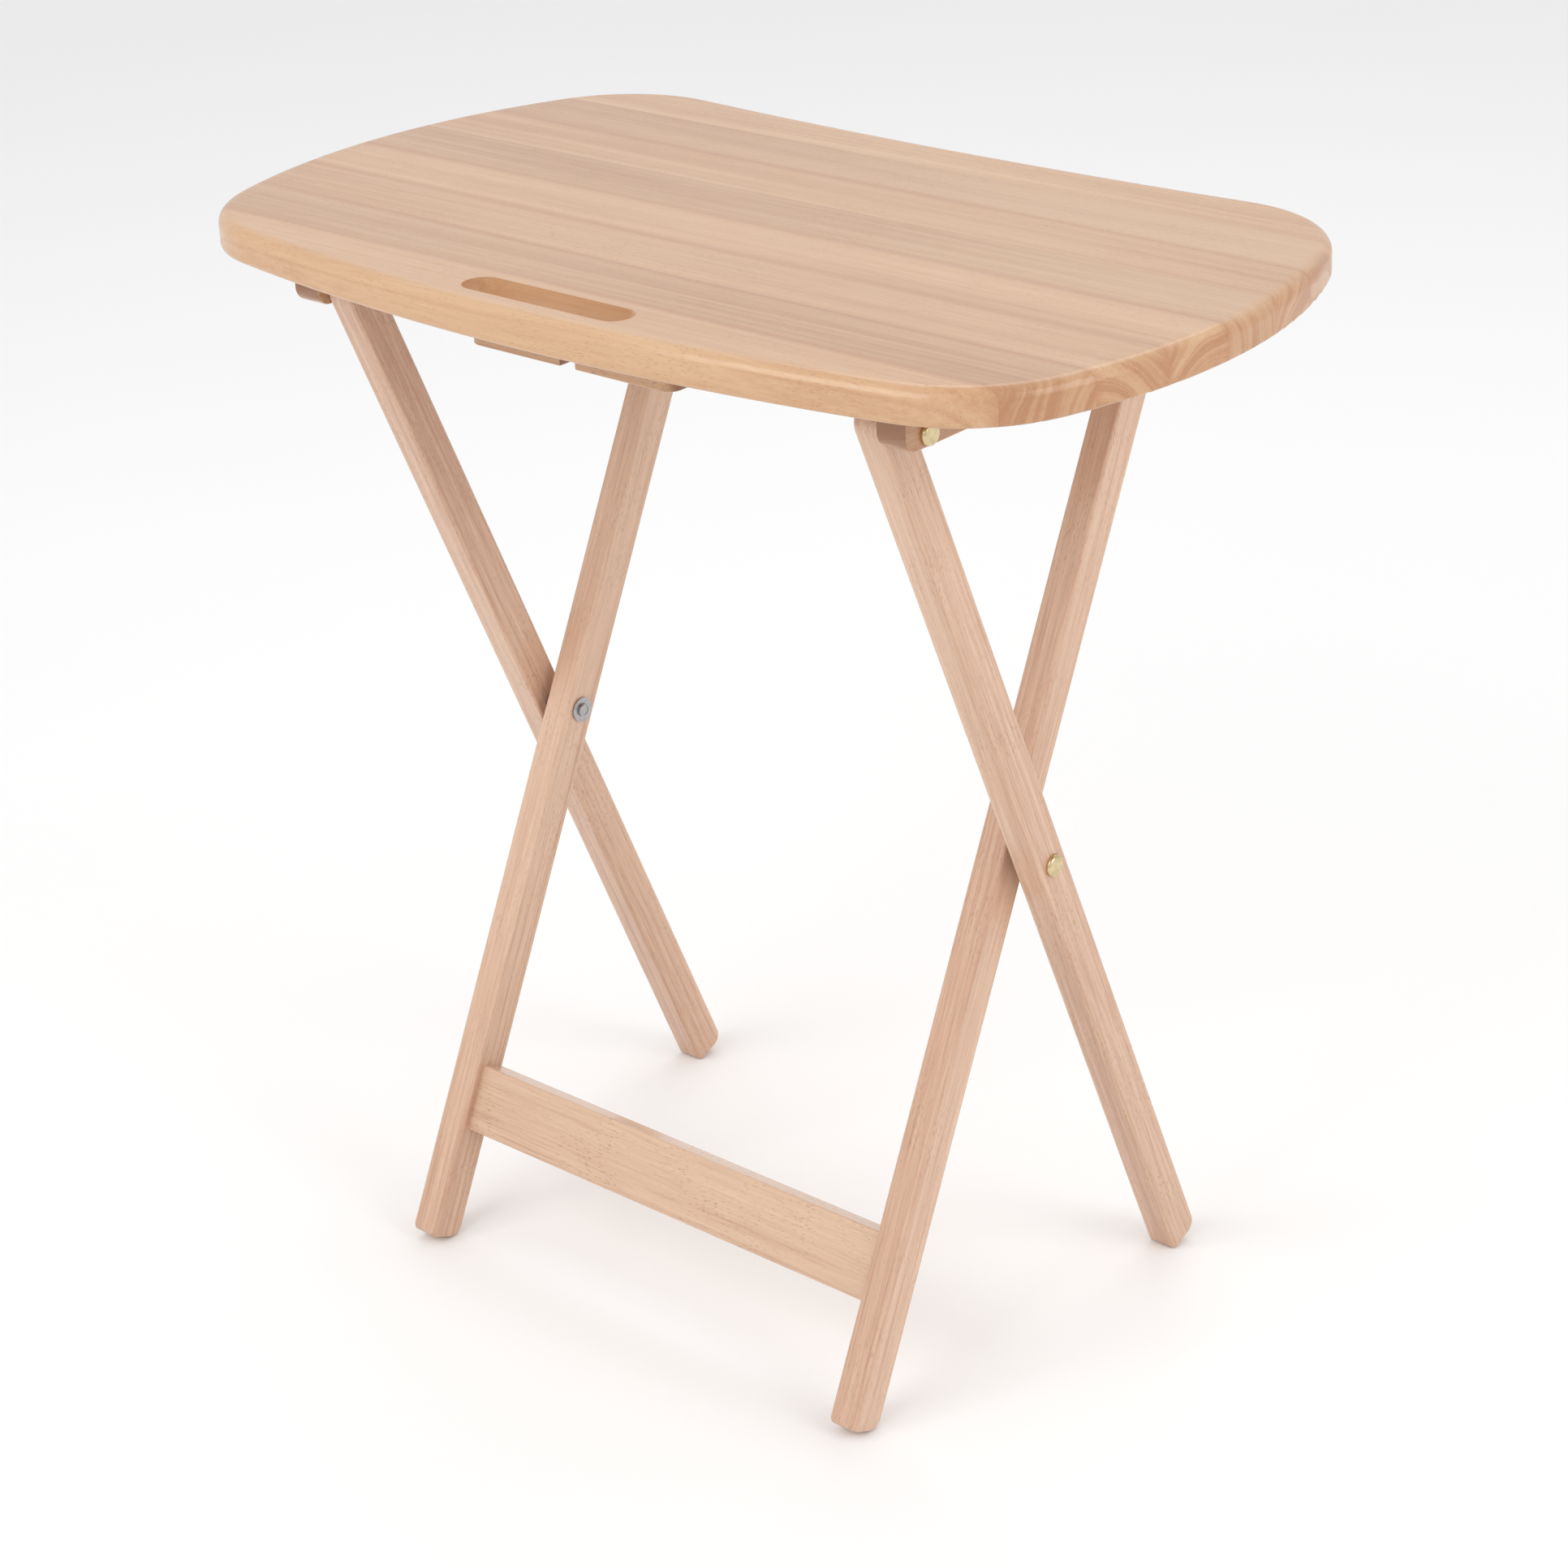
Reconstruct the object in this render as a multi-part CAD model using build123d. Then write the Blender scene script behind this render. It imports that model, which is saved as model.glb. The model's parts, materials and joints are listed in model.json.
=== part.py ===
"""Folding tray table: a solid wood top on two crossed pairs of legs.

Frame: +X along the long side of the top, -Y towards the side with the carry slot, +Z up, origin on
the floor under the middle of the top. All sizes are millimetres.

The outer legs hang from two battens under the front of the top. The inner legs cross them on two
centre bolts, and carry a turned crossbar that two sloping catch blocks under the back of the top
rest on.
"""
from build123d import *
from math import acos, atan2, cos, radians, sin, sqrt, tan
import os

# Tabletop
TABLE_HEIGHT = 660.0
TOP_THICKNESS = 21.0
TOP_HALF_LENGTH = 330.0
TOP_HALF_DEPTH = 195.0
SIDE_BOW_RADIUS = 347.0
SIDE_BOW_CENTRE_Y = -4.0
FRONT_BOW_RADIUS = 1390.0
BACK_HOLLOW_RADIUS = 3100.0
CORNER_RADIUS = 87.0
TOP_RIM_RADIUS = 8.0
BOTTOM_RIM_RADIUS = 2.5
BOARD_COUNT = 8

# Carry slot
SLOT_LENGTH = 123.0
SLOT_WIDTH = 23.0
SLOT_CENTRE_Y = -166.8
SLOT_RIM_RADIUS = 3.0

# Leg frames
LEG_THICKNESS = 20.0
LEG_WIDTH = 24.0
LEG_ARRIS_RADIUS = 2.5
INNER_LEG_X = 174.4
LEG_GAP = 6.3
CENTRE_PIVOT_Y = -4.0
CENTRE_PIVOT_Z = 315.0
INNER_LEAN = 26.0
OUTER_LEAN = 22.2
INNER_ARM = 310.0
OUTER_ARM = 328.0
FOOT_BACK_RADIUS = 8.0
FOOT_FRONT_RADIUS = 4.0

# Stretcher and crossbar of the inner frame
STRETCHER_THICKNESS = 18.0
STRETCHER_HEIGHT = 42.0
STRETCHER_LOW_EDGE = 74.5
STRETCHER_ARRIS_RADIUS = 1.5
CROSSBAR_RADIUS = 10.0
TENON_RADIUS = 6.0
TENON_LENGTH = 15.0
DOWEL_RADIUS = 4.0
DOWEL_LENGTH = 40.0
DOWEL_IN_LEG = 15.5
JOINT_END_GAP = 0.5
DOWEL_SPACING = 22.0

# Wooden blocks under the top
BATTEN_LENGTH = 240.0
BATTEN_WIDTH = 20.0
BATTEN_HEIGHT = 28.0
BATTEN_FRONT_Y = -146.0
BATTEN_CORNER_RADIUS = 9.0
BATTEN_LEG_GAP = 1.3
GRIP_BLOCK_LENGTH = 71.5
GRIP_BLOCK_DEPTH = 20.0
GRIP_BLOCK_HEIGHT = 22.0
GRIP_BLOCK_FRONT_Y = -155.3
GRIP_BLOCK_GAP = 11.8
GRIP_BLOCK_CORNER_RADIUS = 8.0
CATCH_WIDTH = 40.0
CATCH_CENTRE_X = 120.0
CATCH_SLOPE = 45.0
CATCH_FRONT_Y = 104.0
CATCH_RUN_ON = 12.0
CATCH_TOE = 3.0
BLOCK_ARRIS_RADIUS = 1.0

# Hardware
BOLT_RADIUS = 3.0
BOLT_HEAD_RADIUS = 6.75
BOLT_HEAD_HEIGHT = 3.2
BOLT_HEAD_EDGE = 1.1
INNER_WASHER_RADIUS = 8.0
INNER_WASHER_THICKNESS = 1.2
NUT_RADIUS = 4.2
NUT_HEIGHT = 1.8
SPACER_RADIUS = 5.5
TOP_WASHER_RADIUS = 8.0
TOP_WASHER_THICKNESS = 1.0
INSERT_RADIUS = 4.5
INSERT_LENGTH = 13.0
SCREW_RADIUS = 2.0
SCREW_HEAD_RADIUS = 4.0
SCREW_HEAD_HEIGHT = 2.4
SCREW_HEAD_SINK = 0.4
SCREW_RECESS_LENGTH = 4.4
SCREW_RECESS_WIDTH = 1.1
SCREW_BITE = 13.0
SCREW_TIP_GAP = 1.0
BATTEN_SCREWS_Y = (-95.0, -25.0, 60.0)
GRIP_SCREWS_INSET = 16.0
CATCH_SCREWS_SPACING = 20.0
CATCH_SCREWS_Y = 123.0
CATCH_SCREW_COVER = 8.0

# Clearances
RUNNING_CLEARANCE = 0.09
FIT_CLEARANCE = 0.05
CATCH_CLEARANCE = 0.4
FACE_CLEARANCE = 0.15
CUT_OVERRUN = 1.0

UNDERSIDE_Z = TABLE_HEIGHT - TOP_THICKNESS
OUTER_LEG_X = INNER_LEG_X + LEG_THICKNESS + LEG_GAP
INNER_FACE_X = INNER_LEG_X - LEG_THICKNESS / 2
OUTER_FACE_X = OUTER_LEG_X + LEG_THICKNESS / 2
BATTEN_INNER_X = OUTER_FACE_X + BATTEN_LEG_GAP
BATTEN_OUTER_X = BATTEN_INNER_X + BATTEN_WIDTH


def along_lean(lean, distance):
    """Return the (y, z) point at a distance up a line through the centre pivot, leaning towards +Y."""
    angle = radians(lean)
    return (CENTRE_PIVOT_Y + distance * sin(angle), CENTRE_PIVOT_Z + distance * cos(angle))


TOP_PIVOT_Y, TOP_PIVOT_Z = along_lean(-OUTER_LEAN, OUTER_ARM)
CROSSBAR_Y, CROSSBAR_Z = along_lean(INNER_LEAN, INNER_ARM)


def rod(x_low, x_high, radius, y, z):
    """Return a round rod along X between two x positions."""
    plane = Plane(origin=(x_low, y, z), x_dir=(0, 1, 0), z_dir=(1, 0, 0))
    return extrude(plane * Circle(radius), amount=x_high - x_low)


def upright(z_low, z_high, radius, x, y):
    """Return a round rod along Z between two heights."""
    return extrude(Plane.XY.offset(z_low) * Pos(x, y) * Circle(radius), amount=z_high - z_low)


def mirrored(shape, side):
    """Return a right-hand shape as it is for side +1, and mirrored in X for side -1."""
    return shape if side > 0 else mirror(shape, about=Plane.YZ)


def side_name(side):
    """Return the word for a side."""
    return "right" if side > 0 else "left"


def tabletop_outline():
    """Return the plan of the top: bowed front and sides, slightly hollow back, round corners."""
    side_x = TOP_HALF_LENGTH - SIDE_BOW_RADIUS
    side_reach = SIDE_BOW_RADIUS - CORNER_RADIUS

    back_y = TOP_HALF_DEPTH - CORNER_RADIUS
    back_x = side_x + sqrt(side_reach ** 2 - (back_y - SIDE_BOW_CENTRE_Y) ** 2)
    hollow_y = back_y + sqrt((BACK_HOLLOW_RADIUS + CORNER_RADIUS) ** 2 - back_x ** 2)

    bow_y = FRONT_BOW_RADIUS - TOP_HALF_DEPTH
    front_reach = FRONT_BOW_RADIUS - CORNER_RADIUS
    gap_x = side_x
    gap_y = SIDE_BOW_CENTRE_Y - bow_y
    gap = sqrt(gap_x ** 2 + gap_y ** 2)
    turn = acos((front_reach ** 2 + gap ** 2 - side_reach ** 2) / (2 * front_reach * gap))
    heading = atan2(gap_y, gap_x) + turn
    front_x = front_reach * cos(heading)
    front_y = bow_y + front_reach * sin(heading)

    def on_circle(centre_x, centre_y, radius, through_x, through_y):
        reach = sqrt((through_x - centre_x) ** 2 + (through_y - centre_y) ** 2)
        return (centre_x + (through_x - centre_x) * radius / reach,
                centre_y + (through_y - centre_y) * radius / reach)

    back_tangent = on_circle(0, hollow_y, BACK_HOLLOW_RADIUS, back_x, back_y)
    back_side = on_circle(side_x, SIDE_BOW_CENTRE_Y, SIDE_BOW_RADIUS, back_x, back_y)
    front_side = on_circle(side_x, SIDE_BOW_CENTRE_Y, SIDE_BOW_RADIUS, front_x, front_y)
    front_tangent = on_circle(0, bow_y, FRONT_BOW_RADIUS, front_x, front_y)

    def corner_middle(centre_x, centre_y, start, end):
        middle_x = (start[0] + end[0]) / 2
        middle_y = (start[1] + end[1]) / 2
        return on_circle(centre_x, centre_y, CORNER_RADIUS, middle_x, middle_y)

    def flipped(point):
        return (-point[0], point[1])

    back_middle = corner_middle(back_x, back_y, back_tangent, back_side)
    front_middle = corner_middle(front_x, front_y, front_side, front_tangent)
    edges = [
        ThreePointArc(flipped(back_tangent), (0, hollow_y - BACK_HOLLOW_RADIUS), back_tangent),
        ThreePointArc(flipped(front_tangent), (0, -TOP_HALF_DEPTH), front_tangent),
    ]
    for place in (lambda point: point, flipped):
        edges.append(ThreePointArc(place(back_tangent), place(back_middle), place(back_side)))
        side_middle = place((TOP_HALF_LENGTH, SIDE_BOW_CENTRE_Y))
        edges.append(ThreePointArc(place(back_side), side_middle, place(front_side)))
        edges.append(ThreePointArc(place(front_side), place(front_middle), place(front_tangent)))
    return make_face(edges)


def tabletop_panel():
    """Return the whole top with its rounded rims, its carry slot and its screw holes."""
    panel = extrude(Plane.XY.offset(UNDERSIDE_Z) * tabletop_outline(), amount=TOP_THICKNESS)
    panel = fillet(panel.faces().sort_by(Axis.Z)[-1].edges(), TOP_RIM_RADIUS)
    panel = fillet(panel.faces().sort_by(Axis.Z)[0].edges(), BOTTOM_RIM_RADIUS)
    slot = Pos(0, SLOT_CENTRE_Y) * SlotOverall(SLOT_LENGTH, SLOT_WIDTH)
    panel = panel - extrude(Plane.XY.offset(UNDERSIDE_Z) * slot, amount=TOP_THICKNESS)
    for face in (panel.faces().sort_by(Axis.Z)[-1], panel.faces().sort_by(Axis.Z)[0]):
        panel = fillet(face.inner_wires().edges(), SLOT_RIM_RADIUS)
    for x, y in batten_screw_spots() + grip_screw_spots() + catch_screw_spots():
        hole_radius = SCREW_RADIUS + FIT_CLEARANCE
        panel = panel - upright(UNDERSIDE_Z - CUT_OVERRUN, UNDERSIDE_Z + SCREW_BITE + SCREW_TIP_GAP,
                                hole_radius, x, y)
    return panel


def tabletop_boards():
    """Return the top's edge-glued boards, front board first."""
    panel = tabletop_panel()
    width = 2 * TOP_HALF_DEPTH / BOARD_COUNT
    boards = []
    for number in range(BOARD_COUNT):
        middle = Pos(0, (number + 0.5) * width - TOP_HALF_DEPTH, UNDERSIDE_Z + TOP_THICKNESS / 2)
        slab = middle * Box(2 * (TOP_HALF_LENGTH + CUT_OVERRUN), width, TOP_THICKNESS + 2 * CUT_OVERRUN)
        boards.append(panel & slab)
    return boards


def both_sides(spots):
    """Return spots on the right and the same spots mirrored to the left."""
    return spots + [(-x, y) for x, y in spots]


def batten_screw_spots():
    """Return the (x, y) places of the batten screws."""
    middle_x = (BATTEN_INNER_X + BATTEN_OUTER_X) / 2
    return both_sides([(middle_x, y) for y in BATTEN_SCREWS_Y])


def grip_screw_spots():
    """Return the (x, y) places of the grip block screws."""
    inner_x = GRIP_BLOCK_GAP / 2 + GRIP_SCREWS_INSET
    outer_x = GRIP_BLOCK_GAP / 2 + GRIP_BLOCK_LENGTH - GRIP_SCREWS_INSET
    middle_y = GRIP_BLOCK_FRONT_Y + GRIP_BLOCK_DEPTH / 2
    return both_sides([(inner_x, middle_y), (outer_x, middle_y)])


def catch_screw_spots():
    """Return the (x, y) places of the catch block screws."""
    half = CATCH_SCREWS_SPACING / 2
    return both_sides([(CATCH_CENTRE_X - half, CATCH_SCREWS_Y), (CATCH_CENTRE_X + half, CATCH_SCREWS_Y)])


def screw(x, y, head_z):
    """Return a countersunk wood screw driven up into the top, with a cross recess in its head."""
    shank = upright(head_z, UNDERSIDE_Z + SCREW_BITE, SCREW_RADIUS, x, y)
    flare = SCREW_HEAD_RADIUS - SCREW_RADIUS
    cone_middle = Pos(x, y, head_z + SCREW_HEAD_HEIGHT / 2)
    head = cone_middle * Cone(SCREW_HEAD_RADIUS, SCREW_HEAD_RADIUS - flare, SCREW_HEAD_HEIGHT)
    recess = Box(SCREW_RECESS_LENGTH, SCREW_RECESS_WIDTH, SCREW_HEAD_HEIGHT)
    recess = recess + Box(SCREW_RECESS_WIDTH, SCREW_RECESS_LENGTH, SCREW_HEAD_HEIGHT)
    return shank + head - Pos(x, y, head_z) * recess


def screw_hole(x, y, head_z):
    """Return the clearance hole and countersink for a screw whose head face is at a height."""
    hole = upright(head_z - TOP_THICKNESS, UNDERSIDE_Z + CUT_OVERRUN, SCREW_RADIUS + FIT_CLEARANCE, x, y)
    mouth = upright(head_z - TOP_THICKNESS, head_z, SCREW_HEAD_RADIUS + FIT_CLEARANCE, x, y)
    cone_middle = Pos(x, y, head_z + SCREW_HEAD_HEIGHT / 2)
    cone = cone_middle * Cone(SCREW_HEAD_RADIUS + FIT_CLEARANCE, SCREW_RADIUS + FIT_CLEARANCE,
                              SCREW_HEAD_HEIGHT)
    return hole + mouth + cone


def batten_head_z():
    """Return the height of the batten screws' head faces."""
    return UNDERSIDE_Z - BATTEN_HEIGHT + SCREW_HEAD_SINK


def grip_head_z():
    """Return the height of the grip block screws' head faces."""
    return UNDERSIDE_Z - GRIP_BLOCK_HEIGHT + SCREW_HEAD_SINK


def catch_head_z():
    """Return the height of the catch block screws' head faces, deep in their counterbores."""
    return UNDERSIDE_Z - CATCH_SCREW_COVER


def batten():
    """Return the right batten, which the right outer leg hangs from."""
    middle_x = (BATTEN_INNER_X + BATTEN_OUTER_X) / 2
    middle_y = BATTEN_FRONT_Y + BATTEN_LENGTH / 2
    block = Pos(middle_x, middle_y, UNDERSIDE_Z - BATTEN_HEIGHT / 2) * Box(
        BATTEN_WIDTH, BATTEN_LENGTH, BATTEN_HEIGHT)
    block = fillet(block.edges().filter_by(Axis.X).group_by(Axis.Z)[0], BATTEN_CORNER_RADIUS)
    corner_top_z = UNDERSIDE_Z - BATTEN_HEIGHT + BATTEN_CORNER_RADIUS
    low_edges = [edge for edge in block.edges() if edge.center().Z < corner_top_z and not on_x_line(edge)]
    block = fillet(low_edges, BLOCK_ARRIS_RADIUS)
    bore = rod(BATTEN_INNER_X - CUT_OVERRUN, BATTEN_OUTER_X + CUT_OVERRUN,
               BOLT_RADIUS + RUNNING_CLEARANCE, TOP_PIVOT_Y, TOP_PIVOT_Z)
    block = block - bore
    for x, y in batten_screw_spots():
        if x > 0:
            block = block - screw_hole(x, y, batten_head_z())
    return block


def on_x_line(edge):
    """Return whether an edge is straight along X."""
    return edge.geom_type == GeomType.LINE and abs(edge.tangent_at(0.5).X) > 0.99


def grip_block():
    """Return the right grip block, behind the carry slot."""
    middle_x = (GRIP_BLOCK_GAP + GRIP_BLOCK_LENGTH) / 2
    middle_y = GRIP_BLOCK_FRONT_Y + GRIP_BLOCK_DEPTH / 2
    block = Pos(middle_x, middle_y, UNDERSIDE_Z - GRIP_BLOCK_HEIGHT / 2) * Box(
        GRIP_BLOCK_LENGTH, GRIP_BLOCK_DEPTH, GRIP_BLOCK_HEIGHT)
    block = fillet(block.edges().filter_by(Axis.Z).group_by(Axis.X)[-1], GRIP_BLOCK_CORNER_RADIUS)
    block = fillet(block.faces().sort_by(Axis.Z)[0].edges(), BLOCK_ARRIS_RADIUS)
    for x, y in grip_screw_spots():
        if x > 0:
            block = block - screw_hole(x, y, grip_head_z())
    return block


def catch_block():
    """Return the right catch block, a wedge whose sloping face meets the crossbar from behind.

    The slope carries the top's weight and keeps the legs from spreading, and the bar rolls away
    from it as the legs close or the top lifts.
    """
    slope = radians(CATCH_SLOPE)
    reach = CROSSBAR_RADIUS + CATCH_CLEARANCE
    touch_y = CROSSBAR_Y + reach * sin(slope)
    touch_z = CROSSBAR_Z + reach * cos(slope)
    front_z = touch_z + (touch_y - CATCH_FRONT_Y) * tan(slope)
    toe_y = touch_y + CATCH_RUN_ON
    toe_z = touch_z - CATCH_RUN_ON * tan(slope)
    back_y = toe_y + CATCH_TOE
    profile = Polygon((CATCH_FRONT_Y, UNDERSIDE_Z), (CATCH_FRONT_Y, front_z), (toe_y, toe_z),
                      (back_y, toe_z), (back_y, UNDERSIDE_Z), align=None)
    plane = Plane(origin=(CATCH_CENTRE_X - CATCH_WIDTH / 2, 0, 0), x_dir=(0, 1, 0), z_dir=(1, 0, 0))
    block = extrude(plane * profile, amount=CATCH_WIDTH)
    clear_of_top = [edge for edge in block.faces().filter_by(Axis.X).edges()
                    if edge.bounding_box().min.Z < front_z]
    block = chamfer(clear_of_top, BLOCK_ARRIS_RADIUS)
    for x, y in catch_screw_spots():
        if x > 0:
            block = block - screw_hole(x, y, catch_head_z())
    return block


def leg(centre_x, lean, arm, foot_end):
    """Return a leg with a round head, a square foot with rounded corners and softened long edges.

    foot_end is the distance from the centre pivot down to the cut foot, whose back corner is the
    rounder one.
    """
    half = LEG_WIDTH / 2
    body = Polygon((-half, -foot_end), (half, -foot_end), (half, arm), (-half, arm), align=None)
    low = body.vertices().group_by(Axis.Y)[0].sort_by(Axis.X)
    body = fillet(low[0], FOOT_FRONT_RADIUS)
    low = body.vertices().group_by(Axis.Y)[0].sort_by(Axis.X)
    body = fillet(low[-1], FOOT_BACK_RADIUS)
    body = body + Pos(0, arm) * Circle(half)
    plane = Plane(origin=(centre_x - LEG_THICKNESS / 2, CENTRE_PIVOT_Y, CENTRE_PIVOT_Z),
                  x_dir=(0, cos(radians(lean)), -sin(radians(lean))), z_dir=(1, 0, 0))
    solid = extrude(plane * body, amount=LEG_THICKNESS)
    sides = solid.faces().filter_by(Axis.X)
    return fillet(sides.edges(), LEG_ARRIS_RADIUS)


def foot_length(lean, radius):
    """Return the distance from the centre pivot to a foot cut whose low corner touches the floor."""
    angle = radians(lean)
    inset = LEG_WIDTH / 2 - radius
    return (CENTRE_PIVOT_Z - radius - inset * sin(angle)) / cos(angle) + radius


def inner_leg():
    """Return the right inner leg, bored for the centre bolt, the crossbar tenon and the dowels."""
    part = leg(INNER_LEG_X, INNER_LEAN, INNER_ARM, foot_length(INNER_LEAN, FOOT_BACK_RADIUS))
    start_x = INNER_FACE_X - CUT_OVERRUN
    bore = rod(start_x, OUTER_FACE_X, BOLT_RADIUS + RUNNING_CLEARANCE, CENTRE_PIVOT_Y, CENTRE_PIVOT_Z)
    mortise = rod(start_x, INNER_FACE_X + TENON_LENGTH + JOINT_END_GAP, TENON_RADIUS + FIT_CLEARANCE,
                  CROSSBAR_Y, CROSSBAR_Z)
    part = part - bore - mortise
    socket_end = INNER_FACE_X + DOWEL_IN_LEG + JOINT_END_GAP
    for y, z in dowel_spots():
        part = part - rod(start_x, socket_end, DOWEL_RADIUS + FIT_CLEARANCE, y, z)
    return part


def outer_leg():
    """Return the right outer leg, bored for the centre bolt and the top pivot's threaded insert."""
    part = leg(OUTER_LEG_X, -OUTER_LEAN, OUTER_ARM, foot_length(OUTER_LEAN, FOOT_FRONT_RADIUS))
    end_x = OUTER_FACE_X + CUT_OVERRUN
    bore = rod(OUTER_LEG_X - LEG_THICKNESS, end_x, BOLT_RADIUS + RUNNING_CLEARANCE,
               CENTRE_PIVOT_Y, CENTRE_PIVOT_Z)
    socket = rod(OUTER_FACE_X - INSERT_LENGTH - JOINT_END_GAP, end_x, INSERT_RADIUS + FIT_CLEARANCE,
                 TOP_PIVOT_Y, TOP_PIVOT_Z)
    return part - bore - socket


def inner_leg_point(distance_up, offset):
    """Return the (y, z) point a distance up the inner leg from the floor line, offset towards +Y."""
    angle = radians(INNER_LEAN)
    from_pivot = distance_up - CENTRE_PIVOT_Z / cos(angle)
    y, z = along_lean(INNER_LEAN, from_pivot)
    return (y + offset * cos(angle), z - offset * sin(angle))


def stretcher_centre():
    """Return the (y, z) centre of the stretcher's section, flush with the backs of the legs."""
    offset = LEG_WIDTH / 2 - STRETCHER_THICKNESS / 2
    return inner_leg_point(STRETCHER_LOW_EDGE + STRETCHER_HEIGHT / 2, offset)


def dowel_spots():
    """Return the (y, z) places of the two dowels in each end of the stretcher."""
    offset = LEG_WIDTH / 2 - STRETCHER_THICKNESS / 2
    middle = STRETCHER_LOW_EDGE + STRETCHER_HEIGHT / 2
    half = DOWEL_SPACING / 2
    return [inner_leg_point(middle - half, offset), inner_leg_point(middle + half, offset)]


def stretcher():
    """Return the bottom stretcher board, butted between the inner legs."""
    y, z = stretcher_centre()
    plane = Plane(origin=(-INNER_FACE_X, y, z), z_dir=(1, 0, 0),
                  x_dir=(0, cos(radians(INNER_LEAN)), -sin(radians(INNER_LEAN))))
    section = RectangleRounded(STRETCHER_THICKNESS, STRETCHER_HEIGHT, STRETCHER_ARRIS_RADIUS)
    board = extrude(plane * section, amount=2 * INNER_FACE_X)
    depth = DOWEL_LENGTH - DOWEL_IN_LEG + JOINT_END_GAP
    for dowel_y, dowel_z in dowel_spots():
        socket = rod(INNER_FACE_X - depth, INNER_FACE_X + CUT_OVERRUN, DOWEL_RADIUS + FIT_CLEARANCE,
                     dowel_y, dowel_z)
        board = board - socket - mirrored(socket, -1)
    return board


def stretcher_dowels():
    """Return the four dowels of the stretcher's end joints, as one group."""
    high_x = INNER_FACE_X + DOWEL_IN_LEG
    dowels = []
    for y, z in dowel_spots():
        dowel = rod(high_x - DOWEL_LENGTH, high_x, DOWEL_RADIUS, y, z)
        dowel = chamfer(dowel.edges().filter_by(GeomType.CIRCLE), DOWEL_RADIUS / 6)
        dowels += [dowel, mirrored(dowel, -1)]
    return dowels


def crossbar():
    """Return the turned crossbar with a round tenon at each end."""
    bar = rod(-INNER_FACE_X, INNER_FACE_X, CROSSBAR_RADIUS, CROSSBAR_Y, CROSSBAR_Z)
    end = INNER_FACE_X + TENON_LENGTH
    return bar + rod(-end, end, TENON_RADIUS, CROSSBAR_Y, CROSSBAR_Z)


def bolt(seat_x, tip_x, y, z):
    """Return a right-hand bolt: a domed head standing on a face and a shank running inwards."""
    head = rod(seat_x, seat_x + BOLT_HEAD_HEIGHT, BOLT_HEAD_RADIUS, y, z)
    head = fillet(head.edges().group_by(Axis.X)[-1], BOLT_HEAD_HEIGHT - BOLT_HEAD_EDGE)
    shank = rod(tip_x, seat_x + BOLT_HEAD_EDGE, BOLT_RADIUS, y, z)
    return head + shank


def ring(x_low, x_high, outer, inner, y, z):
    """Return a flat ring along X."""
    hole = rod(x_low - CUT_OVERRUN, x_high + CUT_OVERRUN, inner, y, z)
    return rod(x_low, x_high, outer, y, z) - hole


def centre_pivot():
    """Return the right centre pivot's pieces by name."""
    y, z = CENTRE_PIVOT_Y, CENTRE_PIVOT_Z
    washer_high = INNER_FACE_X - FACE_CLEARANCE
    washer_low = washer_high - INNER_WASHER_THICKNESS
    nut_low = washer_low - NUT_HEIGHT
    bore = BOLT_RADIUS + RUNNING_CLEARANCE
    gap_low = INNER_LEG_X + LEG_THICKNESS / 2 + FACE_CLEARANCE
    gap_high = gap_low + LEG_GAP - 2 * FACE_CLEARANCE
    nut = ring(nut_low, washer_low, NUT_RADIUS, BOLT_RADIUS, y, z)
    nut = chamfer(nut.edges().group_by(Axis.X)[0].sort_by(SortBy.RADIUS)[-1], NUT_HEIGHT / 5)
    return {
        "centre_pivot_bolt": bolt(OUTER_FACE_X, nut_low + NUT_HEIGHT / 6, y, z),
        "centre_pivot_spacer": ring(gap_low, gap_high, SPACER_RADIUS, bore, y, z),
        "centre_pivot_washer": ring(washer_low, washer_high, INNER_WASHER_RADIUS, bore, y, z),
        "centre_pivot_nut": nut,
    }


def top_pivot():
    """Return the right top pivot's pieces by name."""
    y, z = TOP_PIVOT_Y, TOP_PIVOT_Z
    bore = BOLT_RADIUS + RUNNING_CLEARANCE
    insert_low = OUTER_FACE_X - INSERT_LENGTH
    low = OUTER_FACE_X + FACE_CLEARANCE
    return {
        "top_pivot_bolt": bolt(BATTEN_OUTER_X + FACE_CLEARANCE, insert_low + JOINT_END_GAP, y, z),
        "top_pivot_washer": ring(low, low + TOP_WASHER_THICKNESS, TOP_WASHER_RADIUS, bore, y, z),
        "top_pivot_insert": ring(insert_low, OUTER_FACE_X, INSERT_RADIUS, BOLT_RADIUS, y, z),
    }


def write(node, solids):
    """Write one node's solid or group of solids to its STEP file."""
    shape = Compound(children=list(solids)) if isinstance(solids, (list, tuple)) else solids
    export_step(shape, f"parts/{node}.step")


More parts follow.
